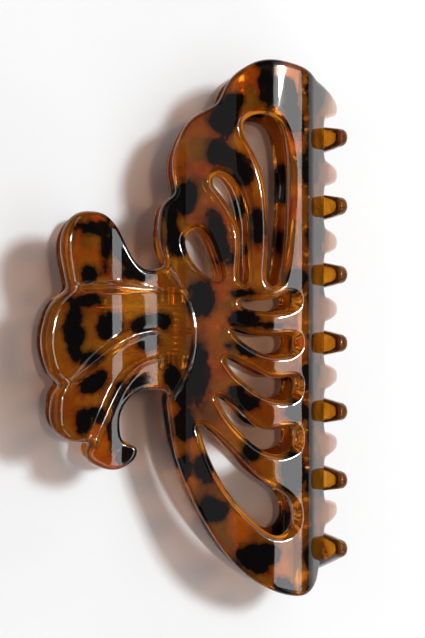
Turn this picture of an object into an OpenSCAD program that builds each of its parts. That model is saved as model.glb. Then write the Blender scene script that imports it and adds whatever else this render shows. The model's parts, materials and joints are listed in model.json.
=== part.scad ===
// Claw clip for hair: two mirrored jaws with interlocking teeth, a hinge pin and a torsion spring.
// The clip lies on its side: X runs from the handles to the teeth, Y along the hinge, Z up.
// Shapes are drawn in the clip's own frame, with the pin at the centre: u towards the teeth,
// v along the hinge and w away from the plane between the jaws. rest_pose() lays it down.

/* [Clip] */
// Length of a jaw along the hinge
clip_length = 108; // [86:1:130]
// Reach from the handle's edge to the tips of the teeth
clip_reach = 61.5; // [50:0.5:74]
// Height of a jaw's belly above the plane between the jaws
belly_rise = 14; // [13.5:0.1:17]
// Wall of a jaw
wall = 3; // [2:0.1:3.6]

/* [Teeth] */
// Teeth on each jaw
tooth_count = 7; // [5:1:8]
// Share of the jaw's length from the first tooth to the last
comb_share = 0.77; // [0.7:0.01:0.78]
// Width of a tooth where it leaves the wall
tooth_base_w = 5.6; // [4:0.1:6]
// Width of a tooth across its rounded tip
tooth_tip_w = 3.6; // [2.4:0.1:4]
// Thickness of a tooth in the plane between the jaws
tooth_mid_t = 2.92; // [2:0.02:3]
// Thickness of a tooth at its tip
tooth_tip_t = 2.2; // [1.6:0.1:2.6]
// Radius of the fillet where a tooth leaves the wall
tooth_fillet = 1.7; // [0.6:0.1:2]
// Height above the plane between the jaws where the teeth leave the wall
tooth_root = 4; // [3.4:0.1:5]
// Depth of the teeth past the plane between the jaws
tooth_depth = 9.2; // [7:0.1:10]

/* [Hinge] */
// Diameter of the hinge pin
pin_d = 2.2; // [1.6:0.1:2.8]
// Bevel on the pin's ends
pin_bevel = 0.3; // [0.1:0.05:0.5]
// Gap around the pin in the upper jaw's lugs
pin_gap = 0.06; // [0.03:0.01:0.1]
// Interference of the pin in the lower jaw's lugs
pin_grip = 0.01; // [0.005:0.005:0.03]
// Thickness of a hinge lug along the pin
lug_t = 2.7; // [2:0.1:3.2]
// Plastic around the pin in a lug
lug_wall = 2; // [1.4:0.1:2.4]
// Gap between lugs that pass each other
lug_gap = 0.3; // [0.2:0.05:0.6]

/* [Spring] */
// Diameter of the spring wire
wire_d = 1.2; // [0.8:0.05:1.5]
// Gap between the pin and the coil
coil_gap = 0.9; // [0.5:0.1:1.2]
// Full turns in the coil, apart from the part turn to the legs
coil_turns = 7; // [4:1:9]
// Gap between one turn and the next
turn_gap = 0.08; // [0.05:0.01:0.3]
// Reach of a spring leg from the pin, towards the handle's edge
leg_reach = 17; // [13:0.5:20]
// Gap between a spring leg and the bulge of the handle's inner face
leg_gap = 0.12; // [0.05:0.01:0.3]
// Height of the two ridges that keep a leg in place
ridge_h = 1; // [0.6:0.1:1.4]
// Width of one ridge
ridge_w = 0.9; // [0.6:0.1:1.4]

/* [Hidden] */

$fn = 48;

// The outlines below are drawn at these sizes and scaled to the chosen ones. The comb, which
// stands past the jaw's face, is moved by a change of reach and keeps its shape.
drawn_length = 108;
drawn_reach = 61.5;
drawn_rise = 14;
face_end = 26.8;
comb_reach = 8.5;
reach_k = (clip_reach - comb_reach) / (drawn_reach - comb_reach);
length_k = clip_length / drawn_length;
rise_k = belly_rise / drawn_rise;
function reach(u) = min(u, face_end) * reach_k + max(u - face_end, 0);

arc_steps = 6;     // straight pieces in one softened corner
hinge_v = -0.8 * length_k;

// A closed or open line with softened corners. Each corner is [u, v, softness]: the curve leaves
// the edges at softness / 2 of their length from the corner and follows a parabola between.
function mix(a, b, t) = a + (b - a) * t;
function corner(p, c) = let (
    at = [p[1][0], p[1][1]],
    from = mix(at, [p[0][0], p[0][1]], p[1][2] / 2),
    to = mix(at, [p[2][0], p[2][1]], p[1][2] / 2)
) [for (k = [0:c]) let (t = k / c) mix(mix(from, at, t), mix(at, to, t), t)];
function soft_closed(pts) = let (n = len(pts))
    [for (i = [0:n - 1]) each corner([pts[(i + n - 1) % n], pts[i], pts[(i + 1) % n]], arc_steps)];
function soft_open(pts) = let (n = len(pts)) [
    [pts[0][0], pts[0][1]],
    for (i = [1:n - 2]) each corner([pts[i - 1], pts[i], pts[i + 1]], arc_steps),
    [pts[n - 1][0], pts[n - 1][1]]
];
function plan_scaled(pts) = [for (p = pts) [reach(p[0]), p[1] * length_k, p[2]]];

// The outer face of a jaw in section: [u, w, softness] from the handle to the tips of the teeth.
profile_drawn = [
    [-28, 18.9, 0], [-13, 10.8, 0.4], [1, 8.6, 1], [9, 12.9, 1], [18, 14.4, 1],
    [face_end, 12.9, 0.36], [32.6, 0.5, 1], [35.7, -11.2, 0]
];
profile_outer = [for (p = profile_drawn) [reach(p[0]), p[1] * rise_k, p[2]]];
profile_t = [wall, wall, wall, wall, wall, wall, tooth_mid_t, tooth_tip_t];

// The inner face: each corner moves inwards by the thickness there, along the line that halves
// its angle.
function unit(a) = a / norm(a);
function edge_normal(a, b) = let (d = unit([b[0] - a[0], b[1] - a[1]])) [-d[1], d[0]];
function inset(pts, t) = let (n = len(pts)) [for (i = [0:n - 1]) let (
    before = edge_normal(pts[max(i - 1, 0)], pts[max(i, 1)]),
    after = edge_normal(pts[min(i, n - 2)], pts[min(i + 1, n - 1)]),
    half = unit(before + after)
) [
    pts[i][0] - half[0] * t[i] / (half * after),
    pts[i][1] - half[1] * t[i] / (half * after),
    pts[i][2]
]];
outer_curve = soft_open(profile_outer);
inner_curve = soft_open(inset(profile_outer, profile_t));
section = concat(outer_curve, [for (i = [len(inner_curve) - 1:-1:0]) inner_curve[i]]);

function inner_height(u) = lookup(u, [for (p = inner_curve) if (p[1] > 0) p]);
function outer_height(u) = lookup(u, [for (p = outer_curve) if (p[1] > 0) p]);

// Outline of one jaw with its handle, seen square to the plane between the jaws.
comb_top = 47.6;
comb_low = -47.6;
past_teeth = 42;
outline_drawn = [
    // upper lobes of the jaw
    [past_teeth, comb_top, 0], [30.8, comb_top, 0.1], [27, 52, 0.9], [17.6, 54, 0.9],
    [10.6, 50.4, 0.9], [8, 44.6, 0.2], [2, 41.6, 0.9], [-1.2, 33.6, 0.9], [0, 26.7, 0.2],
    [-3.2, 24.2, 0.8], [-3.8, 17, 0.9], [-1.9, 11.9, 0.5],
    // handle, from its neck round four lobes to the hook
    [-7.4, 10.8, 0.9], [-12.6, 22.6, 0.8], [-19.6, 23.2, 0.9], [-22.9, 17.4, 0.9],
    [-21, 7.5, 0.2], [-24.8, 4.4, 0.9], [-26.6, -3, 0.9], [-25, -9.6, 0.9],
    [-22.6, -11.7, 0.2], [-24.3, -13.6, 0.8], [-24.6, -20.2, 0.9], [-21, -23.2, 0.9],
    [-16.8, -23.2, 0.2], [-17.7, -26.8, 0.9], [-12.2, -29.4, 0.9], [-8.3, -27.3, 0.8],
    [-7.2, -24.2, 0.8], [-10.9, -23.4, 0.8], [-11.2, -17, 0.9], [-7.6, -12.6, 0.9],
    // long back of the jaw
    [-1.6, -13, 0.3], [-1.9, -16, 0.6], [-0.2, -27.5, 1], [5.6, -40.6, 1], [12.4, -49.4, 1],
    [20, -53.6, 1], [27.4, -54.6, 0.9], [30.8, comb_low, 0.1], [past_teeth, comb_low, 0]
];
outline = soft_closed(plan_scaled(outline_drawn));

// The eight openings in a jaw's face.
openings_drawn = [
    [[11.8, 40.4, 1], [16, 43, 1], [21.6, 41.4, 1], [23.4, 31, 1], [22.3, 14.5, 1],
        [21, 7.9, 0.9], [17.7, 8.1, 0.9], [18.7, 18, 1], [17.6, 31, 1]],
    [[6, 29.2, 0.9], [8.8, 31.6, 1], [12.2, 28.6, 1], [14.2, 21, 1], [14, 14.6, 1],
        [14.6, 8.3, 0.9], [11.8, 8.3, 0.9], [13, 18.4, 1], [9.6, 25, 1]],
    [[1.4, 18.2, 0.9], [4.4, 20.3, 0.9], [6.8, 17.4, 0.9], [9.4, 9, 0.7], [5.4, 9.8, 1],
        [2.2, 14, 1]],
    [[12.4, 5.4, 0.8], [18, 4.9, 1], [23.8, 7.1, 0.9], [24.8, 4.3, 0.9], [20.6, 2.6, 1],
        [12.8, 3.4, 0.8]],
    [[10.4, 0, 0.8], [17, -2.4, 1], [24.9, -1.4, 0.9], [24.5, -5.4, 0.9], [17.6, -6.2, 1],
        [11.6, -2.4, 1]],
    [[8.8, -5.6, 0.8], [15, -8.4, 1], [19.5, -10.8, 1], [25, -9.8, 0.9], [24.4, -14.8, 0.9],
        [18.2, -15, 1], [10.8, -9.6, 1]],
    [[6.8, -13, 0.8], [11.6, -16, 1], [16.6, -21.6, 1], [24.6, -19.6, 0.9],
        [24.8, -24.8, 0.9], [18.6, -26.4, 1], [11, -20.4, 1]],
    [[4, -18.6, 0.8], [10.8, -24.6, 1], [16.6, -31, 1], [23.4, -34.2, 1], [24.8, -39.6, 1],
        [20.6, -43, 1], [13.8, -38.4, 1], [8.4, -31.6, 1], [5, -23.8, 1]]
];

// One tooth in the plane of v and w, from its upper root fillet round the tip to the lower one.
pitch = clip_length * comb_share / (tooth_count - 1);
function tooth(v) = let (
    base = tooth_base_w / 2, tip = tooth_tip_w / 2, low = -tooth_depth,
    slope = (base - tip) / (tooth_root - low - tip)
) concat(
    [for (a = [0:15:75]) [
        v + base + tooth_fillet * (1 - sin(a)), tooth_root - tooth_fillet * (1 - cos(a))]],
    [for (a = [0:15:180]) [v + tip * cos(a), low + tip - tip * sin(a)]],
    [for (a = [75:-15:0]) [
        v - base - tooth_fillet * (1 - sin(a)), tooth_root - tooth_fillet * (1 - cos(a))]]
);

// The comb keeps the wall above the roots and the teeth below them.
function comb(shift) = let (top = 3 * belly_rise, end = clip_length) concat(
    [[end, top], [end, tooth_root]],
    [for (i = [0:tooth_count - 1]) each tooth(shift + pitch * ((tooth_count - 1) / 2 - i))],
    [[-end, tooth_root], [-end, top]]
);

// A prism along v of a shape drawn in u and w.
module along_v(from, length) {
    translate([0, from + length, 0]) rotate([90, 0, 0]) linear_extrude(length) children();
}

// A prism along u of a shape drawn in v and w.
module along_u(from, length) {
    translate([from, 0, 0]) rotate([90, 0, 90]) linear_extrude(length) children();
}

lug_r = pin_d / 2 + lug_wall;
coil_length = (coil_turns + 1) * (wire_d + turn_gap);
inner_lug = coil_length / 2 + lug_gap;
outer_lug = inner_lug + lug_t + lug_gap;
pin_length = 2 * (outer_lug + lug_t);

// A lug: a round eye on the pin with a web that widens into the wall of the jaw.
module lug(from) {
    foot = lug_r * 1.35;
    steps = 6;
    along_v(from, lug_t) union() {
        circle(lug_r);
        polygon(concat(
            [[lug_r, 0]],
            [for (i = [steps:-1:-steps]) let (u = foot * i / steps)
                [u, (inner_height(u) + outer_height(u)) / 2]],
            [[-lug_r, 0]]
        ));
    }
}

// The two ridges that keep a spring leg from sliding along the handle.
leg_v = hinge_v + coil_length / 2 - (wire_d + turn_gap) / 2;
ridge_from = leg_reach - 4;
ridge_to = leg_reach + 1;
module leg_ridges(v) {
    steps = 4;
    for (side = [-1, 1])
        along_v(v + side * (wire_d / 2 + leg_gap + ridge_w / 2) - ridge_w / 2, ridge_w)
            polygon(concat(
                [for (i = [0:steps]) let (u = -mix(ridge_from, ridge_to, i / steps))
                    [u, inner_height(u) - ridge_h]],
                [for (i = [steps:-1:0]) let (u = -mix(ridge_from, ridge_to, i / steps))
                    [u, (inner_height(u) + outer_height(u)) / 2]]
            ));
}

// One jaw, drawn above the plane between the jaws.
module jaw(comb_shift, lug_at, leg_at, bore_r) {
    band = 2 * clip_length;
    difference() {
        union() {
            intersection() {
                along_v(-clip_length, band) polygon(section);
                linear_extrude(3 * belly_rise + tooth_depth, center = true) difference() {
                    polygon(outline);
                    for (o = openings_drawn) polygon(soft_closed(plan_scaled(o)));
                }
                along_u(-clip_length, band) polygon(comb(comb_shift));
            }
            lug(hinge_v + lug_at);
            lug(hinge_v - lug_at - lug_t);
            leg_ridges(leg_at);
        }
        along_v(hinge_v - clip_length / 2, clip_length) circle(bore_r);
    }
}

// The clip rests on the lower handle's edge and on the lower jaw's belly.
handle_u = min([for (p = outline) p[0]]);
handle_w = outer_height(handle_u);
tilt = min([for (p = outer_curve) if (p[0] > 0) atan2(handle_w - p[1], p[0] - handle_u)]);
floor_z = -handle_u * sin(tilt) - handle_w * cos(tilt);
tip_point = [for (p = outer_curve) if (p[1] < tooth_root) p];
tip_u = lookup(tooth_depth, [for (p = tip_point) [-p[1], p[0]]]);
left_x = handle_u * cos(tilt) - handle_w * sin(tilt);
right_x = tip_u * cos(tilt) + tooth_depth * sin(tilt);
middle_y = (max([for (p = outline) p[1]]) + min([for (p = outline) p[1]])) / 2;

module rest_pose() {
    translate([-(left_x + right_x) / 2, -middle_y, -floor_z]) rotate([0, tilt, 0]) children();
}

module upper_jaw() {
    color("saddlebrown") rest_pose()
        jaw(pitch / 4, inner_lug, leg_v, pin_d / 2 + pin_gap);
}

module lower_jaw() {
    color("sienna") rest_pose() mirror([0, 0, 1])
        jaw(-pitch / 4, outer_lug, 2 * hinge_v - leg_v, pin_d / 2 - pin_grip);
}

module hinge_pin() {
    half = pin_length / 2;
    color("silver") rest_pose() translate([0, hinge_v, 0]) rotate([90, 0, 0])
        rotate_extrude() polygon([
            [0, -half], [pin_d / 2 - pin_bevel, -half], [pin_d / 2, -half + pin_bevel],
            [pin_d / 2, half - pin_bevel], [pin_d / 2 - pin_bevel, half], [0, half]
        ]);
}

// The spring wire: down one leg, round the coil and out along the other leg. A leg leaves the
// coil at the first angle at which its whole length clears the handle's inner face.
coil_r = pin_d / 2 + coil_gap + wire_d / 2;
leg_clear = coil_r + wire_d / 2 + leg_gap;
face_steps = 40;
leg_face = [for (k = [0:face_steps])
    let (u = -mix(leg_clear, leg_reach + wire_d, k / face_steps)) [u, inner_height(u)]];
leg_turn = max([for (p = leg_face) atan2(p[1], p[0]) - acos(leg_clear / norm(p))]);
leg_end = [-leg_reach, (coil_r + leg_reach * cos(leg_turn)) / sin(leg_turn)];
coil_sweep = 360 * coil_turns + 2 * leg_turn;
coil_steps = 24 * coil_turns;
leg_steps = 3;
function coil_point(k) = let (
    t = k / coil_steps, a = leg_turn - coil_sweep * t, v = mix(1, -1, t) * (leg_v - hinge_v)
) [coil_r * cos(a), hinge_v + v, coil_r * sin(a)];
wire_path = concat(
    [for (k = [0:leg_steps - 1])
        mix([leg_end[0], leg_v, leg_end[1]], coil_point(0), k / leg_steps)],
    [for (k = [0:coil_steps]) coil_point(k)],
    [for (k = [1:leg_steps])
        mix(coil_point(coil_steps), [leg_end[0], 2 * hinge_v - leg_v, -leg_end[1]],
            k / leg_steps)]
);

// A round tube along a path that runs across v, as one closed polyhedron.
wire_sides = 10;
module wire(path, r) {
    n = len(path);
    points = [for (i = [0:n - 1]) let (
        ahead = unit(path[min(i + 1, n - 1)] - path[max(i - 1, 0)]),
        out = unit(cross([0, 1, 0], ahead)), across = cross(ahead, out)
    ) for (j = [0:wire_sides - 1]) let (a = 360 * j / wire_sides)
        path[i] + r * (cos(a) * out + sin(a) * across)];
    polyhedron(points, concat(
        [[for (j = [wire_sides - 1:-1:0]) j]],
        [for (i = [0:n - 2], j = [0:wire_sides - 1]) let (next = (j + 1) % wire_sides)
            [i * wire_sides + j, i * wire_sides + next,
                (i + 1) * wire_sides + next, (i + 1) * wire_sides + j]],
        [[for (j = [0:wire_sides - 1]) (n - 1) * wire_sides + j]]
    ));
}

module torsion_spring() {
    color("gainsboro") rest_pose() wire(wire_path, wire_d / 2);
}

upper_jaw();
lower_jaw();
hinge_pin();
torsion_spring();
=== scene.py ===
"""A tortoiseshell claw clip for hair, lying closed on its side on a pale table.

The jaws are drawn in the clip's own frame, in millimetres, with the hinge pin at the centre:
u runs from the handles to the teeth, v along the hinge, w away from the plane between the jaws.
A jaw is one curved sheet. Its outline, its openings and its teeth are lines in (s, v), where s is
the length along the outer face in section, and every point has a depth below that face.
"""
import json
import math

import bpy
import numpy as np
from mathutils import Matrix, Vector
from mathutils.geometry import delaunay_2d_cdt


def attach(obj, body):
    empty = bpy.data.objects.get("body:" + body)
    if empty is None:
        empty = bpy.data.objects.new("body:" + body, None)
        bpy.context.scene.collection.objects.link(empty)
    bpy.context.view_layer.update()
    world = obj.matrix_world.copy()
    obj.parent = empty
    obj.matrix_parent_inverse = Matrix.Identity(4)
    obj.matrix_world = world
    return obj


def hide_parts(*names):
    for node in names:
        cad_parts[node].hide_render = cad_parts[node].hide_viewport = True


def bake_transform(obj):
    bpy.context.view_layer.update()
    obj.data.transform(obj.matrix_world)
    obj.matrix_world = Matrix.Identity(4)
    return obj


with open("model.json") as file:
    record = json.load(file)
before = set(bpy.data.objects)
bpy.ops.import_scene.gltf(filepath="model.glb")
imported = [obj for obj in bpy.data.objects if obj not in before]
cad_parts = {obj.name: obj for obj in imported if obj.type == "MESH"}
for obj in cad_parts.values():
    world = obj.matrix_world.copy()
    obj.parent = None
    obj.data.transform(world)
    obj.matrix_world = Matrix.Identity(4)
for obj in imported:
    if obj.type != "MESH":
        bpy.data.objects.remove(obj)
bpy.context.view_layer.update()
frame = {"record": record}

# ---------------------------------------------------------------- sizes, in millimetres

MM = 0.001
WALL = 3.0
TOOTH_COUNT = 7
PITCH = 108 * 0.77 / (TOOTH_COUNT - 1)
TOOTH_BASE_W, TOOTH_TIP_W, TOOTH_TIP_T = 5.6, 3.6, 2.2
TOOTH_FILLET, TOOTH_ROOT, TOOTH_DEPTH = 1.7, 4.0, 9.2
COMB_END = 47.6

PIN_D, PIN_BEVEL, PIN_GAP = 2.2, 0.3, 0.06
LUG_T, LUG_WALL, LUG_GAP = 2.7, 2.0, 0.3
WIRE_D, COIL_GAP, COIL_TURNS, TURN_GAP = 1.2, 0.9, 7, 0.08
LEG_REACH, LEG_GAP = 17.0, 0.12
RIDGE_T, RIDGE_EDGE = 0.9, 0.3
HINGE_V = -0.8
PRESS_GAP = 0.01       # drawn gap between the pin and the lugs that hold it

EDGE_STEP = 0.42       # spacing of points along an outline
RIM_ROWS = 7           # rows of points round a rounded edge
FINE_STEP = 0.3        # spacing of points on the handle and its neck
WIDE_STEP = 0.55       # spacing of points on the rest of the jaw
RIM_CLEAR = 0.26       # least distance of those points from an edge's rows
FINE_V = 26            # the handle's finely spaced points end here along the hinge
SHARP_ANGLE = math.radians(48)
EDGE_R = 1.15          # rounding of the outer edge, on the outer face
OPENING_R = 1.3        # rounding of an opening's edge, on the outer face
INNER_R = 0.8          # rounding of every edge, on the inner face
# Rounding of the handle's edge on the outer face, by how far the edge looks towards +u
HANDLE_FACING = (-1, -0.3, 0.3, 1)
HANDLE_R = (2.3, 1.2, 0.8, 0.6)
HANDLE_END = (-4, -1)  # the handle's rounding gives way to the jaw's over this stretch of u
ROOM_SHARE, LEAST_SHARE = 0.85, 0.25     # how much of a narrow place a rounding may take up
RIB_HALF, RIB_H = 0.56, 0.34     # half width and height of the handle's beads
DISH = 0.85            # how far the handle's panels are dished between the beads
DISH_START, DISH_DEEPEST, DISH_END = -23, -15.3, -4      # where, along u
DISH_FADE = (0.3, 1.5) # the dish fades towards a bead over this stretch
NECK_U = 5.0           # the handle's beads end before here
BEAD_STEP = 0.12       # spacing of points along a bead's line

# The outer face in section: u, w, softness of the corner, share of the full wall.
PROFILE = [
    (-28, 18.9, 0, 1), (-13, 10.8, 0.4, 1), (1, 8.6, 1, 1), (9, 12.9, 1, 1),
    (18, 14.4, 1, 1), (26.8, 12.9, 0.36, 1), (32.6, 0.5, 1, 0.9), (35.7, -11.2, 0, 0),
]

# The jaw and its handle, seen square to the plane between the jaws: u, v, softness.
OUTLINE = [
    # upper lobes of the jaw
    (30.8, COMB_END, 0.1), (27, 52, 0.9), (17.6, 54, 0.9), (10.6, 50.4, 0.9), (8, 44.6, 0.2),
    (2, 41.6, 0.9), (-1.2, 33.6, 0.9), (0, 26.7, 0.2), (-3.2, 24.2, 0.8), (-3.8, 17, 0.9),
    (-1.9, 11.9, 0.5),
    # handle, from its neck round four lobes to the hook
    (-7.4, 10.8, 0.9), (-12.6, 22.6, 0.8), (-19.6, 23.2, 0.9), (-22.9, 17.4, 0.9),
    (-21, 7.5, 0.2), (-24.8, 4.4, 0.9), (-26.6, -3, 0.9), (-25, -9.6, 0.9),
    (-22.6, -11.7, 0.2), (-24.3, -13.6, 0.8), (-24.6, -20.2, 0.9), (-21, -23.2, 0.9),
    (-16.8, -23.2, 0.2), (-17.7, -26.8, 0.9), (-12.2, -29.4, 0.9), (-8.3, -27.3, 0.8),
    (-7.2, -24.2, 0.8), (-10.9, -23.4, 0.8), (-11.2, -17, 0.9), (-7.6, -12.6, 0.9),
    # long back of the jaw
    (-1.6, -13, 0.3), (-1.9, -16, 0.6), (-0.2, -27.5, 1), (5.6, -40.6, 1), (12.4, -49.4, 1),
    (20, -53.6, 1), (27.4, -54.6, 0.9), (30.8, -COMB_END, 0.1),
]

OPENINGS = [
    [(11.8, 40.4, 1), (16, 43, 1), (21.6, 41.4, 1), (23.4, 31, 1), (22.3, 14.5, 1),
     (21, 7.9, 0.9), (17.7, 8.1, 0.9), (18.7, 18, 1), (17.6, 31, 1)],
    [(6, 29.2, 0.9), (8.8, 31.6, 1), (12.2, 28.6, 1), (14.2, 21, 1), (14, 14.6, 1),
     (14.6, 8.3, 0.9), (11.8, 8.3, 0.9), (13, 18.4, 1), (9.6, 25, 1)],
    [(1.4, 18.2, 0.9), (4.4, 20.3, 0.9), (6.8, 17.4, 0.9), (9.4, 9, 0.7), (5.4, 9.8, 1),
     (2.2, 14, 1)],
    [(12.4, 5.4, 0.8), (18, 4.9, 1), (23.8, 7.1, 0.9), (24.8, 4.3, 0.9), (20.6, 2.6, 1),
     (12.8, 3.4, 0.8)],
    [(10.4, 0, 0.8), (17, -2.4, 1), (24.9, -1.4, 0.9), (24.5, -5.4, 0.9), (17.6, -6.2, 1),
     (11.6, -2.4, 1)],
    [(8.8, -5.6, 0.8), (15, -8.4, 1), (19.5, -10.8, 1), (25, -9.8, 0.9), (24.4, -14.8, 0.9),
     (18.2, -15, 1), (10.8, -9.6, 1)],
    [(6.8, -13, 0.8), (11.6, -16, 1), (16.6, -21.6, 1), (24.6, -19.6, 0.9),
     (24.8, -24.8, 0.9), (18.6, -26.4, 1), (11, -20.4, 1)],
    [(4, -18.6, 0.8), (10.8, -24.6, 1), (16.6, -31, 1), (23.4, -34.2, 1), (24.8, -39.6, 1),
     (20.6, -43, 1), (13.8, -38.4, 1), (8.4, -31.6, 1), (5, -23.8, 1)],
]

# The beads that divide the handle into four panels, and the arc where it meets the jaw's face.
RIBS = [
    [(-23.5, 7.7, 0), (-13, 7.9, 1), (-5.8, 7.3, 1), (1.4, 6.8, 0)],
    [(-22.8, -12.2, 0), (-16.6, -7.4, 1), (-10.6, -2.6, 1), (-5, -0.8, 1), (3.1, -1.1, 0)],
    [(-16.4, -23.4, 0), (-14, -17.6, 1), (-10.6, -10.6, 1), (-5.4, -6.4, 1), (2.7, -6.5, 0)],
    [(-2.6, 12.8, 0), (1.2, 8, 1), (3.6, 2, 1), (3.8, -5, 1), (1.6, -11.4, 1),
     (-1.6, -15.6, 0)],
]

# The dark blotches of the upper jaw, and painted shade in its fold and at the roots of its teeth:
# u, v, half size along u, half size along v, turn in degrees.
BLOTCHES_AND_PAINTED_SHADE = [
    # painted shade, not blotches: a dark line along the fold beside the comb, and the shade at
    # the roots of the teeth
    (27.3, 0, 0.7, 150, 0), (30.7, 36.5, 1.5, 2.6, 0), (35.2, 36.5, 0.9, 2.2, 0),
    (30.3, 22.6, 1.3, 2.6, 0), (30.9, 9, 1.5, 2.6, 0), (35.4, -4.7, 1.2, 2.2, 0),
    (30.8, -18.4, 1.6, 2.6, 0), (30.5, -32.1, 1.5, 2.6, 0), (30.6, -46, 1.3, 2.6, 0),
    # upper lobes of the jaw
    (18.4, 48.2, 2.0, 4.6, 0), (18.2, 52.6, 2.4, 0.9, 0), (21.4, 46.6, 2.4, 3.6, 20),
    (23.4, 42.6, 1.9, 4.2, 14), (28.4, 47.6, 2.6, 4.8, 0), (9.4, 41.6, 2.8, 3.2, -20),
    (11.4, 44.9, 1.9, 1.9, 0), (8.3, 35, 2.2, 2.8, 0), (10.8, 33.4, 3, 2, -20),
    (13.3, 30.6, 2, 3, 10), (1.9, 25.6, 2.6, 3.4, 0), (-0.9, 20.2, 1.3, 4.6, 0),
    # the entry at (27.1, 32) is a blotch that runs on into painted shade in the fold beside the
    # comb
    (0.4, 16, 1.7, 2.4, 0), (27.1, 32, 2.4, 4, 0), (28.4, 17.4, 1.9, 4.4, 0),
    # middle of the jaw
    (8.6, 18.2, 1.8, 4.9, 16), (16, 20, 1.4, 3.3, 0), (5, 5.4, 2.9, 3.6, 0),
    (13.3, 6.5, 2, 0.9, 0), (13.5, 1.6, 2.4, 1.8, 0), (17.6, 0.3, 3, 0.7, 0),
    (24, 9.2, 2.1, 2.3, 0), (27.2, -9.8, 2.2, 3.4, 0), (4.4, -9.6, 2.2, 6.4, 0),
    (1.6, -13.4, 2, 2.6, 0), (13.4, -4.7, 2.8, 0.9, -20), (1.9, -20, 2.2, 3.2, 0),
    (12.4, -13.9, 2.3, 1.5, -20), (14.2, -15.8, 1.8, 1.4, 0), (24.2, -17.2, 2.3, 2.3, 0),
    # long back of the jaw
    (14.8, -24.8, 1.7, 2.3, 15), (1.9, -28.4, 1.2, 2.3, 0), (5.6, -28.6, 1.8, 2.8, 10),
    (7.2, -36.8, 3.2, 2.5, -10), (14.8, -46.2, 3.2, 2.6, 0), (18, -45.4, 2.4, 2.2, 0),
    (16.5, -48.2, 2, 1.5, 0), (21.6, -52.2, 2.2, 1.8, 0), (23.4, -29.6, 2.6, 4.2, 0),
    (27.6, -30.6, 1.6, 4.4, 0), (28, -46.4, 2.8, 3.2, 0),
    # handle
    (-16.4, 19.5, 3.5, 1.5, 0), (-14.2, 16, 1, 4.6, 0), (-11.3, 16, 1.7, 4.8, 22),
    (-7.4, 10.8, 2.9, 1.6, 0), (-17.6, 10.3, 1.5, 1.5, 0), (-17.7, 5.3, 2.7, 1, 0),
    (-20.7, -1, 2, 5.8, 0), (-13.4, 0.2, 2.7, 2.7, 0), (-17.3, -6.4, 2.2, 1.4, 15),
    (-16.8, -11.3, 3, 1.9, 30), (-18.6, -18.9, 1.9, 2.6, 0), (-16, -17.8, 1.7, 1.6, 0),
    (-6.6, 0.3, 2, 1.9, 0), (-2.4, 1, 1.8, 1.7, 0), (-5.4, -3.2, 2.2, 1.8, 0),
    (-7.6, -11.8, 2.6, 2, 30), (-11.4, -15.6, 1.7, 3.8, -15), (-12, -21.6, 1.7, 4, 0),
    (-9.8, -26, 2.6, 1.7, 0), (-0.6, -10, 1.6, 2.8, 0),
    # tips of the teeth
    (33.4, 36.6, 1.2, 1.6, 0), (33, 24.4, 0.9, 2, 0), (33.6, 8.4, 1, 1.4, 0),
    (35, -5.4, 1.2, 2.4, 0), (33.2, -18.4, 0.9, 1.6, 0), (34.2, -31.6, 1.4, 2, 0),
    (32.4, -46, 1.4, 2, 0),
]


# ---------------------------------------------------------------- lines

def softened(corners, closed, steps):
    """A line through softened corners (x, y, softness): it leaves each edge at softness / 2 of
    its length from the corner and follows a parabola between."""
    at = np.array([c[:2] for c in corners], float)
    share = np.array([c[2] for c in corners], float)[:, None, None] / 2
    before, after = np.roll(at, 1, 0), np.roll(at, -1, 0)
    t = np.linspace(0, 1, steps + 1)[None, :, None]
    start = at[:, None] + (before - at)[:, None] * share
    end = at[:, None] + (after - at)[:, None] * share
    line = (1 - t) ** 2 * start + 2 * t * (1 - t) * at[:, None] + t ** 2 * end
    if closed:
        return line.reshape(-1, 2)
    return np.vstack([at[:1], line[1:-1].reshape(-1, 2), at[-1:]])


def resampled(line, step, closed):
    """The same line with evenly spaced points about step apart."""
    ring = np.vstack([line, line[:1]]) if closed else line
    along = np.r_[0, np.cumsum(np.linalg.norm(np.diff(ring, axis=0), axis=1))]
    count = max(int(round(along[-1] / step)), 8)
    at = np.linspace(0, along[-1], count + 1)[: count if closed else count + 1]
    return np.column_stack([np.interp(at, along, ring[:, k]) for k in (0, 1)])


def rounded_off(ring, rounds):
    """A closed line with each point moved towards the middle of its neighbours, some rounds."""
    for _ in range(rounds):
        ring = (np.roll(ring, 1, 0) + 2 * ring + np.roll(ring, -1, 0)) / 4
    return ring


def smoothstep(low, high, x):
    """Nought below low, one above high, and 3t squared less 2t cubed between."""
    t = np.clip((x - low) / (high - low), 0, 1)
    return t * t * (3 - 2 * t)


# ---------------------------------------------------------------- the section

def inset_corners(corners):
    """The inner face's corners: each moves inwards by its wall along the line that halves its
    angle, by the wall over the cosine of the half angle."""
    at = np.array([c[:2] for c in corners], float)
    wall = TOOTH_TIP_T + (WALL - TOOTH_TIP_T) * np.array([c[3] for c in corners])
    edge = np.diff(at, axis=0)
    edge /= np.linalg.norm(edge, axis=1)[:, None]
    normal = np.column_stack([-edge[:, 1], edge[:, 0]])
    before, after = np.vstack([normal[:1], normal]), np.vstack([normal, normal[-1:]])
    half = before + after
    half /= np.linalg.norm(half, axis=1)[:, None]
    moved = at - half * (wall / (half * after).sum(1))[:, None]
    return [(*m, c[2]) for m, c in zip(moved, corners)]


SECTION_STEPS = 90
COMB_FOLD_U = 26       # beyond here the outer face turns down into the comb
outer_line = softened(PROFILE, False, SECTION_STEPS)
inner_line = softened(inset_corners(PROFILE), False, SECTION_STEPS)
section_s = np.r_[0, np.cumsum(np.linalg.norm(np.diff(outer_line, axis=0), axis=1))]
section_t = np.linalg.norm(outer_line - inner_line, axis=1)


def s_at_u(u):
    """Length along the outer face to a place u."""
    return np.interp(u, outer_line[:, 0], section_s)


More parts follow.
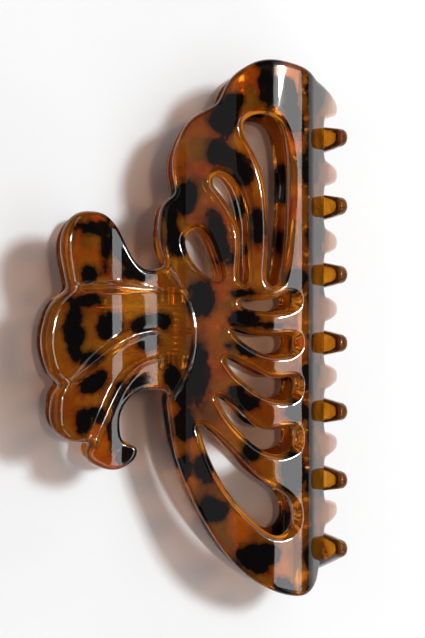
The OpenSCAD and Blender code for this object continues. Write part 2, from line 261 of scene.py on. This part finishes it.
def s_at_w(w):
    """Length along the outer face to height w on the wall with the teeth."""
    wall = outer_line[:, 0] > COMB_FOLD_U
    return np.interp(-w, -outer_line[wall, 1], section_s[wall])


def u_at_s(s):
    """The place u at a length along the outer face."""
    return np.interp(s, section_s, outer_line[:, 0])


def wall_at(s):
    """Thickness of the sheet at a length along the outer face."""
    return np.interp(s, section_s, section_t)


def in_section(s, depth):
    """(u, w) at a length s along the outer face and a depth below it."""
    share = (depth / wall_at(s))[..., None]
    outer = np.stack([np.interp(s, section_s, outer_line[:, k]) for k in (0, 1)], -1)
    inner = np.stack([np.interp(s, section_s, inner_line[:, k]) for k in (0, 1)], -1)
    return outer * (1 - share) + inner * share


def face_height(line, u):
    """Height w of a section line over u, on its part above the plane between the jaws."""
    top = line[:, 1] > 0
    return np.interp(u, line[top, 0], line[top, 1])


# ---------------------------------------------------------------- the resting pose

plan = softened(OUTLINE, True, 6)
handle_u = plan[:, 0].min()
handle_w = face_height(outer_line, handle_u)
belly = outer_line[outer_line[:, 0] > 0]
tilt = np.arctan2(handle_w - belly[:, 1], belly[:, 0] - handle_u).min()
pin_at = np.array(frame["record"]["behaviour"]["joints"][0]["pos_m"])


def placed(points):
    """Clip points (u, v, w) in millimetres, turned about the hinge by the tilt and moved so that
    the pin's middle lies at the joint, in metres."""
    u, v, w = np.asarray(points, float).T
    turned = np.column_stack([
        u * math.cos(tilt) + w * math.sin(tilt), v - HINGE_V,
        w * math.cos(tilt) - u * math.sin(tilt)])
    return turned * MM + pin_at


# ---------------------------------------------------------------- meshes

def new_piece(name, points, faces, material, smooth=True):
    """A mesh object at the origin from points in metres and rows of point numbers."""
    mesh = bpy.data.meshes.new(name)
    mesh.from_pydata(points, [], faces)
    mesh.validate()
    mesh.polygons.foreach_set("use_smooth", np.full(len(mesh.polygons), smooth))
    mesh.materials.append(material)
    piece = bpy.data.objects.new(name, mesh)
    bpy.context.scene.collection.objects.link(piece)
    return piece


def ring_faces(rows, columns):
    """Faces of a grid whose columns close on themselves: each cell joins two rows."""
    here = np.arange(rows - 1)[:, None] * columns
    column = np.arange(columns)[None, :]
    ahead = (column + 1) % columns
    up = here + columns
    return np.stack([here + column, here + ahead, up + ahead, up + column], -1).reshape(-1, 4)


# ---------------------------------------------------------------- the jaw's sheet

def tooth_line(v):
    """One tooth in (v, w): upper root fillet, half circle round the tip, lower root fillet."""
    base, tip, low = TOOTH_BASE_W / 2, TOOTH_TIP_W / 2, -TOOTH_DEPTH
    a = np.radians(np.linspace(0, 75, 9))
    fillet = np.column_stack([base + TOOTH_FILLET * (1 - np.sin(a)),
                              TOOTH_ROOT - TOOTH_FILLET * (1 - np.cos(a))])
    b = np.radians(np.linspace(0, 180, 25))
    end = np.column_stack([tip * np.cos(b), low + tip - tip * np.sin(b)])
    line = np.vstack([fillet, end, fillet[::-1] * (-1, 1)])
    return line + (v, 0)


def jaw_rings(comb_shift):
    """The jaw's closed lines in (s, v): the outline with the comb, then the openings."""
    middle = (TOOTH_COUNT - 1) / 2
    comb = np.vstack([tooth_line(comb_shift + PITCH * (middle - k)) for k in range(TOOTH_COUNT)])
    comb = comb[np.abs(comb[:, 0]) < COMB_END - 0.3]
    comb = np.column_stack([s_at_w(comb[:, 1]), comb[:, 0]])
    back = softened(OUTLINE, False, 24)[1:-1]
    back = np.column_stack([s_at_u(back[:, 0]), back[:, 1]])
    back = back[back[:, 0] < s_at_w(TOOTH_ROOT)]
    rings = [rounded_off(resampled(np.vstack([comb[::-1], back]), EDGE_STEP, True), 3)]
    for corners in OPENINGS:
        line = softened(corners, True, 24)
        line = np.column_stack([s_at_u(line[:, 0]), line[:, 1]])
        rings.append(rounded_off(resampled(line, EDGE_STEP, True), 2))
    return rings


def turned_in(ring, hole):
    """Unit normals of a closed line that point into the material."""
    ahead = np.roll(ring, -1, 0) - np.roll(ring, 1, 0)
    normal = np.column_stack([-ahead[:, 1], ahead[:, 0]])
    normal /= np.linalg.norm(normal, axis=1)[:, None]
    x, y = ring.T
    area = (x * np.roll(y, -1) - np.roll(x, -1) * y).sum()
    return normal * (1 if (area > 0) != hole else -1)


def room_inside(ring, normal, everything):
    """For each point, the radius of the largest circle that touches the line there, on the
    material's side, and holds no other point of any line."""
    away = everything[None] - ring[:, None]
    across = (away * normal[:, None]).sum(-1)
    square = (away ** 2).sum(-1)
    radius = np.where(across > 1e-6, square / np.maximum(2 * across, 1e-9), 1e9)
    return radius.min(1)


def inside(points, rings):
    """Even-odd test of points against closed lines."""
    odd = np.zeros(len(points), bool)
    for ring in rings:
        a, b = ring, np.roll(ring, -1, 0)
        for part in np.array_split(np.arange(len(ring)), max(len(ring) // 200, 1)):
            ax, ay, bx, by = a[part, 0], a[part, 1], b[part, 0], b[part, 1]
            spans = (ay[None] > points[:, 1:2]) != (by[None] > points[:, 1:2])
            slope = np.where(by == ay, 1e-12, by - ay)
            cut = (bx - ax)[None] * (points[:, 1:2] - ay[None]) / slope[None] + ax[None]
            odd ^= (np.count_nonzero(spans & (points[:, :1] < cut), axis=1) % 2).astype(bool)
    return odd


def nearest(points, others):
    """Distance from each point to the nearest of the others."""
    gap = np.full(len(points), 1e9)
    for part in np.array_split(others, max(len(others) // 150, 1)):
        gap = np.minimum(gap, np.linalg.norm(points[:, None] - part[None], axis=-1).min(1))
    return gap


def lattice(low, high, step):
    """A triangular lattice of points over a rectangle."""
    rise = step * math.sqrt(3) / 2
    v = np.arange(low[1], high[1], rise)
    s = np.arange(low[0], high[0], step)
    grid = np.stack(np.meshgrid(s, v), -1)
    grid[1::2, :, 0] += step / 2
    return grid.reshape(-1, 2)


def handle_relief(s, v):
    """Height on the handle's face: a bead of full height on a rib's line, falling to nothing
    over half its width as a parabola to the power 1.5, less a dish that is deepest across the
    middle of the panels and fades towards the ribs."""
    u = u_at_s(s)
    points = np.column_stack([u, v])
    near = u < NECK_U
    line = np.vstack([resampled(softened(rib, False, 24), BEAD_STEP, False) for rib in RIBS])
    gap = np.full(len(u), 9.0)
    gap[near] = nearest(points[near], line)
    bead = RIB_H * (1 - np.minimum(gap / RIB_HALF, 1) ** 2) ** 1.5
    middle = smoothstep(DISH_START, DISH_DEEPEST, u) * (1 - smoothstep(DISH_DEEPEST, DISH_END, u))
    return bead - DISH * middle * smoothstep(*DISH_FADE, gap)


def jaw_sheet(comb_shift, side):
    """A closed sheet over the region between the jaw's lines. Each line carries a rounded edge:
    rows at the distance r(1 - cos a) from the line and the depth r(1 - sin a), then the inner
    face's rows the other way round. The two faces are one triangulated set of points each."""
    rings = jaw_rings(comb_shift)
    everything = np.vstack(rings)
    angle = np.linspace(math.pi / 2, 0, RIM_ROWS)
    offsets, depths, loops = [], [], []
    for k, ring in enumerate(rings):
        normal = turned_in(ring, k > 0)
        room = room_inside(ring, normal, everything)
        radius = np.full(len(ring), OPENING_R)
        if k == 0:
            on_handle = 1 - smoothstep(*HANDLE_END, u_at_s(ring[:, 0]))
            handle = np.interp(-normal[:, 0], HANDLE_FACING, HANDLE_R)
            radius = EDGE_R + (handle - EDGE_R) * on_handle
            radius = rounded_off(radius[:, None], 40)[:, 0]
        fit = np.minimum(1, ROOM_SHARE * room / radius)
        for _ in range(6):
            fit = np.minimum(fit, (np.roll(fit, 1) + 2 * fit + np.roll(fit, -1)) / 4 + 0.02)
        radius = radius * np.maximum(fit, LEAST_SHARE)
        low_radius = np.minimum(INNER_R, radius)
        wall = wall_at(ring[:, 0])
        top_gap = radius * (1 - np.cos(angle))[:, None]
        top_depth = radius * (1 - np.sin(angle))[:, None]
        low_gap = low_radius * (1 - np.cos(angle[::-1]))[:, None]
        low_depth = wall - low_radius * (1 - np.sin(angle[::-1]))[:, None]
        gap = np.vstack([top_gap, low_gap, radius])
        offsets.append(ring[None] + normal[None] * gap[..., None])
        depths.append(np.vstack([top_depth, low_depth, wall]))
        loops.append(offsets[-1][0])
    # the flat part: lattice points clear of the edges, and the innermost row of every edge
    rim = np.vstack(loops)
    low, high = everything.min(0), everything.max(0)
    neck_s = s_at_u(NECK_U)
    fill = np.vstack([
        lattice(low, (neck_s, FINE_V), FINE_STEP),
        lattice((neck_s, low[1]), high, WIDE_STEP),
        lattice((low[0], FINE_V), (neck_s, high[1]), WIDE_STEP)])
    fill = fill[inside(fill, loops)]
    fill = fill[nearest(fill, rim) > RIM_CLEAR]
    flat = np.vstack([rim, fill])
    edges, first = [], 0
    for loop in loops:
        index = first + np.arange(len(loop))
        edges += np.column_stack([index, np.roll(index, -1)]).tolist()
        first += len(loop)
    flat, _, triangles, *_ = delaunay_2d_cdt(
        [Vector(p) for p in flat], edges, [], 0, 1e-6, False)
    flat = np.array([tuple(p) for p in flat])
    triangles = np.array([t for t in triangles if len(t) == 3])
    triangles = triangles[inside(flat[triangles].mean(1), loops)]
    # number every point: outer face, inner face, then the rows between on each edge
    n = len(flat)
    s = [flat[:, 0], flat[:, 0]]
    v = [flat[:, 1], flat[:, 1]]
    depth = [np.zeros(n), wall_at(flat[:, 0])]
    faces = [triangles, triangles[:, ::-1] + n]
    first, start = 0, 2 * n
    for k, (rows, deep) in enumerate(zip(offsets, depths)):
        count, width = rows.shape[:2]
        middle = rows[1:-1].reshape(-1, 2)
        s.append(middle[:, 0])
        v.append(middle[:, 1])
        depth.append(deep[1:-1].reshape(-1))
        index = np.vstack([
            first + np.arange(width),
            start + np.arange((count - 2) * width).reshape(count - 2, width),
            first + np.arange(width) + n])
        cells = index.reshape(-1)[ring_faces(count, width)]
        x, y = rings[k].T
        clockwise = (x * np.roll(y, -1) - np.roll(x, -1) * y).sum() < 0
        faces.append(cells if clockwise == (k == 0) else cells[:, ::-1])
        first += width
        start += (count - 2) * width
    s, v, depth = (np.concatenate(a) for a in (s, v, depth))
    relief = handle_relief(s, v) * (1 - depth / wall_at(s))
    uw = in_section(s, depth - relief)
    points = np.column_stack([uw[:, 0], v, side * uw[:, 1]])
    if side < 0:
        faces = [group[:, ::-1] for group in faces]
    return points, [tuple(face) for group in faces for face in group.tolist()]


# ---------------------------------------------------------------- lugs, ridges, pin, spring

PIN_R = PIN_D / 2
LUG_R = PIN_R + LUG_WALL
COIL_LENGTH = (COIL_TURNS + 1) * (WIRE_D + TURN_GAP)
INNER_LUG = COIL_LENGTH / 2 + LUG_GAP
OUTER_LUG = INNER_LUG + LUG_T + LUG_GAP
PIN_LENGTH = 2 * (OUTER_LUG + LUG_T)
LEG_V = COIL_LENGTH / 2 - (WIRE_D + TURN_GAP) / 2
SINK = 0.6             # how far a lug or ridge goes into the wall
LUG_EDGE = 0.35        # rounding of a lug's edges


def prism(line, start, end, edge, hub=False):
    """A bar along v on a closed line in (u, w), with its two end edges rounded by edge: rows
    at the inset e(1 - sin a) and the distance e(1 - cos a) from the end. With a hub the ends
    are fans about the pin's axis, so that a bore leaves no face with a hole in it."""
    normal = turned_in(line, False)
    angle = np.linspace(0, math.pi / 2, 5)
    inset = edge * (1 - np.sin(angle))
    step = edge * (1 - np.cos(angle))
    inset = np.r_[inset, inset[::-1]]
    at = np.r_[start + step, end - step[::-1]]
    rows = line[None] + normal[None] * inset[:, None, None]
    v = np.broadcast_to(at[:, None], rows.shape[:2])
    points = np.stack([rows[..., 0], v, rows[..., 1]], -1).reshape(-1, 3)
    count, width = rows.shape[:2]
    faces = ring_faces(count, width)[:, ::-1].tolist()
    if not hub:
        return points, faces + [tuple(range(width)),
                                tuple((count - 1) * width + np.arange(width))[::-1]]
    here = np.arange(width)
    there = (here + 1) % width
    last = (count - 1) * width
    first_fan = np.column_stack([here, there, np.full(width, len(points))])
    last_fan = np.column_stack([last + there, last + here, np.full(width, len(points) + 1)])
    points = np.vstack([points, [(0, start, 0), (0, end, 0)]])
    return points, faces + first_fan.tolist() + last_fan.tolist()


def lug_line():
    """A lug in (u, w): a half circle under the pin and a web that widens into the wall."""
    foot = LUG_R * 1.35
    a = np.linspace(math.pi, 2 * math.pi, 25)
    eye = LUG_R * np.column_stack([np.cos(a), np.sin(a)])
    u = np.linspace(foot, -foot, 13)
    roof = np.column_stack([u, face_height(inner_line, u) + SINK])
    return resampled(np.vstack([eye, roof]), 0.35, True)


def ridge_line():
    """A ridge beside a spring leg, in (u, w): it stands a millimetre off the handle's face, with
    a blunt end at both sides: the height is a sine to the power 0.4."""
    u = np.linspace(-18, -13, 16)
    face = face_height(inner_line, u)
    low = face - 1.0 * np.sin(np.linspace(0.15, math.pi - 0.15, 16)) ** 0.4
    return np.vstack([np.column_stack([u, low]), np.column_stack([u, face + SINK])[::-1]])


def fitted(points, side):
    """Clip points of a bar drawn on the upper jaw, for the jaw on this side, about the pin."""
    return placed(points * (1, 1, side) + (0, HINGE_V, 0))


def carved(piece, others, operation):
    """The piece with other pieces added to it or cut from it, as one closed surface."""
    for other in others:
        step = piece.modifiers.new(operation, "BOOLEAN")
        step.operation = operation
        step.solver = "MANIFOLD"
        step.object = other
    shape = bpy.data.meshes.new_from_object(
        piece.evaluated_get(bpy.context.evaluated_depsgraph_get()))
    piece.modifiers.clear()
    piece.data = shape
    for other in others:
        bpy.data.objects.remove(other)


FAR_OUTSIDE = -9.0     # the blotch field where there is no blotch near
MERGE = 4              # how tightly neighbouring blotches run together


def blotch_and_shade_field(points, mirror):
    """Signed depth inside the nearest blotch in millimetres, positive inside: one less the
    distance from its centre in units of its half sizes, times the smaller half size. Blotches
    merge by the logarithm of the sum of their exponentials. The entries along the fold beside the
    comb and at the roots of the teeth are painted shade, drawn as blotches."""
    turned = (points - pin_at) / MM
    u = turned[:, 0] * math.cos(tilt) - turned[:, 2] * math.sin(tilt)
    v = (turned[:, 1] + HINGE_V) * (-1 if mirror else 1)
    field = np.full(len(u), FAR_OUTSIDE)
    for cu, cv, ru, rv, turn in BLOTCHES_AND_PAINTED_SHADE:
        c, s = math.cos(math.radians(turn)), math.sin(math.radians(turn))
        a = ((u - cu) * c + (v - cv) * s) / ru
        b = ((v - cv) * c - (u - cu) * s) / rv
        inside_by = (1 - np.hypot(a, b)) * min(ru, rv)
        field = np.logaddexp(field * MERGE, inside_by * MERGE) / MERGE
    return field


def material(name):
    """A new material, its node tree and its Principled node."""
    m = bpy.data.materials.new(name)
    m.use_nodes = True
    return m, m.node_tree, m.node_tree.nodes["Principled BSDF"]


def add_node(tree, kind, links=(), **settings):
    """A node of this kind with its properties set; links give (input, socket) pairs."""
    node = tree.nodes.new(kind)
    for key, value in settings.items():
        setattr(node, key, value)
    for target, socket in links:
        tree.links.new(socket, node.inputs[target])
    return node


def new_group(name, inputs, outputs):
    """A shader node group with named sockets: (name, kind, default) and (name, kind)."""
    group = bpy.data.node_groups.new(name, "ShaderNodeTree")
    for label, kind, value in inputs:
        socket = group.interface.new_socket(name=label, in_out="INPUT", socket_type=kind)
        if value is not None:
            socket.default_value = value
    for label, kind in outputs:
        group.interface.new_socket(name=label, in_out="OUTPUT", socket_type=kind)
    return group, group.nodes.new("NodeGroupInput"), group.nodes.new("NodeGroupOutput")


def ranged(tree, socket, low, high, to_low=0.0, to_high=1.0):
    """A smooth step of a value from one range to another."""
    node = add_node(tree, "ShaderNodeMapRange", [(0, socket)], interpolation_type="SMOOTHSTEP")
    for k, value in enumerate((low, high, to_low, to_high)):
        node.inputs[k + 1].default_value = value
    return node.outputs[0]


def mixed(tree, factor, a, b):
    """A colour between two colours or sockets, by a factor socket."""
    node = add_node(tree, "ShaderNodeMix", [(0, factor)], data_type="RGBA")
    for k, side in ((6, a), (7, b)):
        if isinstance(side, tuple):
            node.inputs[k].default_value = (*side, 1)
        else:
            tree.links.new(side, node.inputs[k])
    return node.outputs[2]


def maths(tree, operation, *terms):
    """A sum, product or other operation on values or sockets."""
    node = add_node(tree, "ShaderNodeMath", operation=operation)
    for k, side in enumerate(terms):
        if isinstance(side, (int, float)):
            node.inputs[k].default_value = side
        else:
            tree.links.new(side, node.inputs[k])
    return node.outputs[0]


def noise(tree, vector, scale, detail, rough=0.5):
    """Soft noise between nought and one, with about scale waves to a metre."""
    node = add_node(tree, "ShaderNodeTexNoise", [("Vector", vector)])
    node.inputs["Scale"].default_value = scale
    node.inputs["Detail"].default_value = detail
    node.inputs["Roughness"].default_value = rough
    return node.outputs[0]


def tortoiseshell_group():
    """Colour of marbled plastic. The blotch depth is shifted by coarse and fine noise, and its
    zero line is the blotch's edge: near black inside, red brown just outside, and beyond that
    amber clouded between honey and deep orange. The same depth also paints shade, near black,
    along the fold beside the comb and at the roots of the teeth."""
    tree, given, put = new_group(
        "tortoiseshell",
        [("Vector", "NodeSocketVector", None), ("Blotch And Shade", "NodeSocketFloat", -5.0),
         ("Honey", "NodeSocketColor", (0.84, 0.32, 0.018, 1)),
         ("Amber", "NodeSocketColor", (0.58, 0.15, 0.008, 1)),
         ("Halo", "NodeSocketColor", (0.20, 0.034, 0.004, 1)),
         ("Dark", "NodeSocketColor", (0.010, 0.006, 0.005, 1))],
        [("Color", "NodeSocketColor"), ("Dark Mask", "NodeSocketFloat"),
         ("Height", "NodeSocketFloat")])
    place = given.outputs["Vector"]
    coarse = maths(tree, "MULTIPLY_ADD", noise(tree, place, 320, 2), 2.8, -1.4)
    fine = maths(tree, "MULTIPLY_ADD", noise(tree, place, 1300, 2), 0.7, -0.35)
    depth = maths(tree, "ADD", maths(tree, "ADD", given.outputs["Blotch And Shade"], coarse), fine)
    cloud = ranged(tree, noise(tree, place, 150, 4, 0.6), 0.36, 0.66)
    amber = mixed(tree, cloud, given.outputs["Honey"], given.outputs["Amber"])
    halo = mixed(tree, ranged(tree, depth, -1.0, 0.05, 0, 0.75), amber, given.outputs["Halo"])
    mask = ranged(tree, depth, -0.12, 0.16)
    tree.links.new(mixed(tree, mask, halo, given.outputs["Dark"]), put.inputs["Color"])
    tree.links.new(mask, put.inputs["Dark Mask"])
    swell = noise(tree, place, 90, 1)
    grain = maths(tree, "MULTIPLY", noise(tree, place, 2600, 2), 0.012)
    tree.links.new(maths(tree, "ADD", swell, grain), put.inputs["Height"])
    return tree


# What a wall lets through of a lamp's light, where it is amber and where it is dark
AMBER_SHADOW, DARK_SHADOW = (0.53, 0.37, 0.28), (0.37, 0.26, 0.20)


def shell_material(name, group, shift):
    """Glossy translucent plastic. Light that lamps send through it turns a soft brown, and
    darker through the blotches. The clouds and swells are shifted from jaw to jaw."""
    m, tree, principled = material(name)
    at = add_node(tree, "ShaderNodeTexCoord").outputs["Object"]
    moved = add_node(tree, "ShaderNodeMapping", [("Vector", at)])
    moved.inputs["Location"].default_value = shift
    # the blotch field, which also holds painted shade along the fold beside the comb and at the
    # roots of the teeth
    field = add_node(tree, "ShaderNodeAttribute", attribute_name="blotch_and_shade")
    shell = add_node(tree, "ShaderNodeGroup", node_tree=group)
    tree.links.new(moved.outputs[0], shell.inputs["Vector"])
    tree.links.new(field.outputs["Fac"], shell.inputs["Blotch And Shade"])
    tree.links.new(shell.outputs["Color"], principled.inputs["Base Color"])
    principled.inputs["IOR"].default_value = 1.49
    principled.inputs["Transmission Weight"].default_value = 0.88
    smudge = ranged(tree, noise(tree, at, 260, 5, 0.6), 0.45, 0.75, 0.03, 0.085)
    tree.links.new(smudge, principled.inputs["Roughness"])
    bump = add_node(tree, "ShaderNodeBump", [("Height", shell.outputs["Height"])])
    bump.inputs["Strength"].default_value = 1.0
    bump.inputs["Distance"].default_value = 0.00012
    tree.links.new(bump.outputs[0], principled.inputs["Normal"])
    clear = add_node(tree, "ShaderNodeBsdfTransparent")
    tree.links.new(mixed(tree, shell.outputs["Dark Mask"], AMBER_SHADOW, DARK_SHADOW),
                   clear.inputs["Color"])
    path = add_node(tree, "ShaderNodeLightPath")
    mix = add_node(tree, "ShaderNodeMixShader")
    tree.links.new(path.outputs["Is Shadow Ray"], mix.inputs[0])
    tree.links.new(principled.outputs[0], mix.inputs[1])
    tree.links.new(clear.outputs[0], mix.inputs[2])
    tree.links.new(mix.outputs[0], tree.nodes["Material Output"].inputs["Surface"])
    return m


def steel_material(name, colour, stretch, scale):
    """Drawn steel: fine scratches along one direction in its gloss and height."""
    m, tree, principled = material(name)
    at = add_node(tree, "ShaderNodeTexCoord").outputs["Object"]
    along = add_node(tree, "ShaderNodeMapping", [("Vector", at)])
    along.inputs["Scale"].default_value = stretch
    lines = noise(tree, along.outputs[0], scale, 4, 0.7)
    tone = mixed(tree, lines, tuple(0.72 * c for c in colour), colour)
    tree.links.new(tone, principled.inputs["Base Color"])
    principled.inputs["Metallic"].default_value = 1.0
    tree.links.new(ranged(tree, lines, 0.3, 0.7, 0.18, 0.34), principled.inputs["Roughness"])
    bump = add_node(tree, "ShaderNodeBump", [("Height", lines)])
    bump.inputs["Distance"].default_value = 0.00002
    tree.links.new(bump.outputs[0], principled.inputs["Normal"])
    return m


def full_turn(count):
    """Evenly spaced angles round a circle, as (cosine, sine)."""
    a = np.linspace(0, 2 * math.pi, count + 1)[:-1]
    return np.column_stack([np.cos(a), np.sin(a)])


BORE_SIDES, BORE_HALF = 64, 30     # the bore's tool reaches well past both lugs
shell_group = tortoiseshell_group()
for node, body, shift, side, lug_at, leg_at, bore in (
        ("upper_jaw", "upper_half", PITCH / 4, 1, INNER_LUG, LEG_V, PIN_R + PIN_GAP),
        ("lower_jaw", "lower_half", -PITCH / 4, -1, OUTER_LUG, -LEG_V, PIN_R + PRESS_GAP)):
    shell = shell_material(node + "_tortoiseshell", shell_group, (0, 0, 0.03 * (1 - side)))
    points, faces = jaw_sheet(shift, side)
    jaw = new_piece(node + "_shell", placed(points), faces, shell)
    parts = []
    bars = [(lug_line(), at, at + LUG_T, LUG_EDGE, True) for at in (lug_at, -lug_at - LUG_T)]
    for way in (-1, 1):
        middle = leg_at + way * (WIRE_D / 2 + LEG_GAP + RIDGE_T / 2)
        bars.append((ridge_line(), middle - RIDGE_T / 2, middle + RIDGE_T / 2, RIDGE_EDGE, False))
    for bar in bars:
        points, faces = prism(*bar)
        faces = faces if side > 0 else [f[::-1] for f in faces]
        parts.append(new_piece("bar", fitted(points, side), faces, shell))
    carved(jaw, parts, "UNION")
    points, faces = prism(bore * full_turn(BORE_SIDES), -BORE_HALF, BORE_HALF, 0.1)
    carved(jaw, [new_piece("bore", fitted(points, 1), faces, shell)], "DIFFERENCE")
    mesh = jaw.data
    mesh.set_sharp_from_angle(angle=SHARP_ANGLE)
    where = np.empty(len(mesh.vertices) * 3)
    mesh.vertices.foreach_get("co", where)
    # blotches, and painted shade along the fold beside the comb and at the roots of the teeth
    field = blotch_and_shade_field(where.reshape(-1, 3), side < 0)
    mesh.attributes.new("blotch_and_shade", "FLOAT", "POINT").data.foreach_set("value", field)
    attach(jaw, body)
    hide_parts(node)


def lathe(profile, sides):
    """A closed turning about v through the pin: rings of the profile's radii, with the two
    end rings filled."""
    across, up = full_turn(sides).T
    r, v = np.array(profile).T
    points = np.stack([r[:, None] * across, np.broadcast_to(v[:, None], (len(r), sides)),
                       r[:, None] * up], -1).reshape(-1, 3)
    faces = ring_faces(len(r), sides)[:, ::-1].tolist()
    faces += [tuple(range(sides)), tuple((len(r) - 1) * sides + np.arange(sides))[::-1]]
    return points, faces


PIN_SIDES = 48
half = PIN_LENGTH / 2
turn = np.linspace(0, math.pi / 2, 7)
end = np.column_stack([PIN_R - PIN_BEVEL * (1 - np.sin(turn)),
                       half - PIN_BEVEL * (1 - np.cos(turn))])
end = np.vstack([[0.12, half], [0.5 * PIN_R, half], end])
points, faces = lathe(np.vstack([end * (1, -1), end[::-1]]), PIN_SIDES)
pin = new_piece("hinge_pin_turned", fitted(points, 1), faces,
                steel_material("polished_pin_steel", (0.78, 0.77, 0.75), (1, 0.06, 1), 9000))
pin.data.set_sharp_from_angle(angle=SHARP_ANGLE)
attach(pin, "lower_half")
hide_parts("hinge_pin")


def spring_path():
    """The wire's middle line: straight down one leg, a coil that moves evenly along v, and out
    along the other leg. A leg's angle is the first at which it clears the handle's face."""
    coil = PIN_R + COIL_GAP + WIRE_D / 2
    clear = coil + WIRE_D / 2 + LEG_GAP
    u = -np.linspace(clear, LEG_REACH + WIRE_D, 41)
    w = face_height(inner_line, u)
    turn = (np.arctan2(w, u) - np.arccos(clear / np.hypot(u, w))).max()
    leg_w = (coil + LEG_REACH * math.cos(turn)) / math.sin(turn)
    t = np.linspace(0, 1, 48 * COIL_TURNS + 1)
    a = turn - (2 * math.pi * COIL_TURNS + 2 * turn) * t
    coils = np.column_stack([coil * np.cos(a), LEG_V * (1 - 2 * t), coil * np.sin(a)])
    share = np.linspace(0, 1, 12)[:-1, None]
    first = (1 - share) * (-LEG_REACH, LEG_V, leg_w) + share * coils[0]
    last = (1 - share) * (-LEG_REACH, -LEG_V, -leg_w) + share * coils[-1]
    return np.vstack([first, coils, last[::-1]])


def tube(path, radius, sides):
    """A round wire along a path, each ring square to it, with ends rounded over a third of a
    radius by three smaller rings."""
    ahead = np.gradient(path, axis=0)
    ahead /= np.linalg.norm(ahead, axis=1)[:, None]
    out = np.cross((0, 1, 0), ahead)
    out /= np.linalg.norm(out, axis=1)[:, None]
    across = np.cross(ahead, out)
    round_it = full_turn(sides)
    rings = radius * (round_it[:, :1] * out[:, None] + round_it[:, 1:] * across[:, None])
    scale = np.ones(len(path))
    centre = path.copy()
    bend = np.linspace(0, 0.42 * math.pi, 4)
    for k in range(4):
        for row, way in ((3 - k, -1), (len(path) - 4 + k, 1)):
            scale[row] = math.cos(bend[k])
            centre[row] = path[0 if way < 0 else -1] + way * ahead[row] * radius * (
                math.sin(bend[k]) - 1) * 0.5
    points = (centre[:, None] + rings * scale[:, None, None]).reshape(-1, 3)
    faces = ring_faces(len(path), sides).tolist()
    faces += [tuple(range(sides))[::-1], tuple((len(path) - 1) * sides + np.arange(sides))]
    return points, faces


WIRE_SIDES = 16
points, faces = tube(spring_path(), WIRE_D / 2, WIRE_SIDES)
spring = new_piece("torsion_spring_wire", fitted(points, 1), faces,
                   steel_material("drawn_spring_steel", (0.30, 0.29, 0.28), (1, 1, 1), 5200))
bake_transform(spring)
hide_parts("torsion_spring")

# ---------------------------------------------------------------- table, lights, camera

def table_material():
    """Matt white card with a faint tooth."""
    m, tree, principled = material("white_card")
    at = add_node(tree, "ShaderNodeTexCoord").outputs["Object"]
    tone = mixed(tree, noise(tree, at, 60, 3), (0.90, 0.90, 0.905), (0.925, 0.925, 0.925))
    tree.links.new(tone, principled.inputs["Base Color"])
    principled.inputs["Roughness"].default_value = 0.7
    return m


table = new_piece("table", [(-1, -1, 0), (1, -1, 0), (1, 1, 0), (-1, 1, 0)], [(0, 1, 2, 3)],
                  table_material(), False)

VIEW_DISTANCE = 0.6          # metres above the hinge
VIEW_HEIGHT = 0.13015        # metres the view spans at the hinge, from top to bottom
VIEW_CENTRE = np.array([8.2, 2.2, 0]) * MM       # the view's middle from the pin's middle
camera = bpy.data.objects.new("camera", bpy.data.cameras.new("camera"))
camera.data.lens = camera.data.sensor_width * VIEW_DISTANCE / VIEW_HEIGHT
camera.location = Vector(pin_at + VIEW_CENTRE + (0, 0, VIEW_DISTANCE))
bpy.context.scene.collection.objects.link(camera)
bpy.context.scene.camera = camera


def softbox(name, place, size, power):
    """An area light at place, in metres, facing the clip: its width, and its length level."""
    light = bpy.data.lights.new(name, "AREA")
    light.shape = "RECTANGLE"
    light.size_y, light.size = size
    light.energy = power
    lamp = bpy.data.objects.new(name, light)
    lamp.location = place
    lamp.rotation_euler = (-Vector(place)).to_track_quat("-Z", "Y").to_euler()
    bpy.context.scene.collection.objects.link(lamp)


# A wide key box and a small strong lamp on the teeth's side, a weak box over the handles, and
# one at each end of the clip: place in metres, width and length in metres, watts
softbox("key", (0.64, 0, 1.32), (0.42, 0.9), 5.6)
softbox("lamp", (0.68, 0.26, 1.5), (0.17, 0.17), 19.5)
softbox("fill", (-0.85, 0, 1.36), (1.0, 1.5), 1.3)
softbox("side_far", (0.95, 1.3, 1.2), (0.9, 0.9), 4.6)
softbox("side_near", (0.95, -1.3, 1.2), (0.9, 0.9), 4.6)

world = bpy.data.worlds.new("studio")
world.use_nodes = True
world.node_tree.nodes["Background"].inputs["Color"].default_value = (0.05, 0.05, 0.05, 1)
scene = bpy.context.scene
scene.world = world
scene.view_settings.view_transform = "Standard"
scene.cycles.use_denoising = True
scene.cycles.caustics_refractive = False
scene.cycles.caustics_reflective = False
